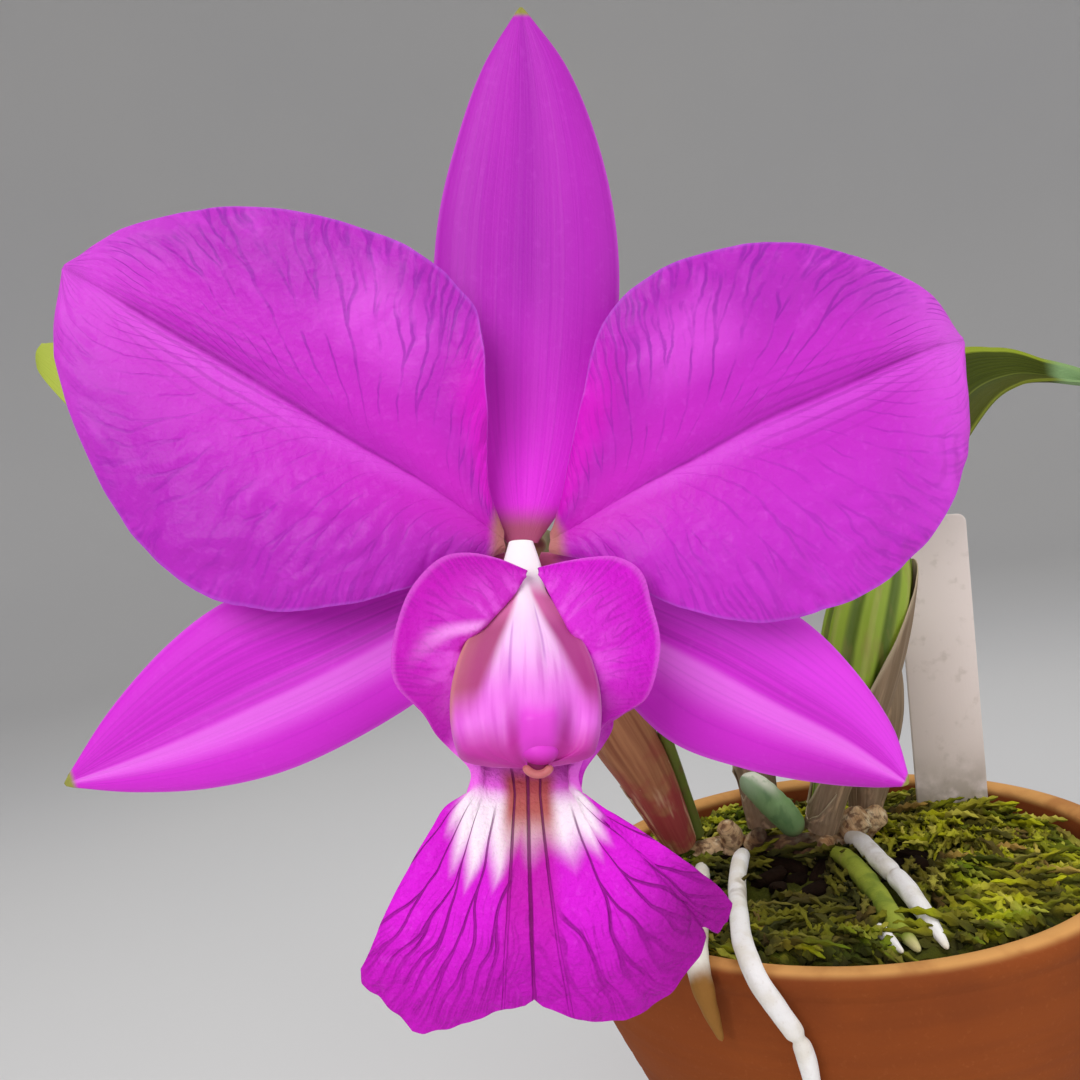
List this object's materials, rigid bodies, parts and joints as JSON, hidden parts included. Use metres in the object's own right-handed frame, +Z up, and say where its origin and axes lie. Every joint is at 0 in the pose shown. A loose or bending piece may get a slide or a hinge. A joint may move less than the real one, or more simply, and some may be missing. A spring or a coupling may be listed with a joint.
{
  "type": "potted cattleya orchid",
  "caption": "Potted cattleya orchid in flower: broad-petalled bloom with a spreading lip on an arching stalk, ridged pseudobulbs, leathery leaves and pale roots in a terracotta bowl pot.",
  "frame": {"origin": "centre of the pot's flat bottom, on the surface that it stands on", "axes": "+Z up; the bloom faces -Y, so +X is to the viewer's right"},
  "size_m": [0.2055, 0.18, 0.2215],
  "materials": {
    "terracotta": "unglazed, matt, slightly weathered",
    "bark": "rough damp bark chips",
    "moss": "soft living moss strands",
    "rhizome": "dry scaly stem",
    "shoot": "waxy young shoot",
    "root": "spongy white velamen",
    "pseudobulb": "waxy green stem in a papery sheath",
    "leaf": "thick, smooth, semi-gloss",
    "label": "satin white plastic, blank",
    "stalk": "smooth green stalk",
    "sepal": "soft sparkling petal tissue",
    "petal": "soft sparkling petal tissue",
    "lip": "velvety, dark veined, white throat",
    "column": "waxy, white above and lilac below"
  },
  "bodies": {
    "root": {"pot": "terracotta", "bark_filling": "bark", "moss": "moss", "rhizome": "rhizome", "new_shoot": "shoot", "root_front": "root", "root_left": "root", "root_right": "root", "root_green": "root", "root_small": "root", "pseudobulb_lead": "pseudobulb", "pseudobulb_right": "pseudobulb", "pseudobulb_back": "pseudobulb", "pseudobulb_old": "pseudobulb", "leaf_lead": "leaf", "leaf_right": "leaf", "leaf_back": "leaf", "plant_label": "label", "flower_stalk": "stalk", "dorsal_sepal": "sepal", "lateral_sepal_left": "sepal", "lateral_sepal_right": "sepal", "petal_left": "petal", "petal_right": "petal", "lip": "lip", "column": "column", "anther_cap": "column"}
  },
  "joints": []
}
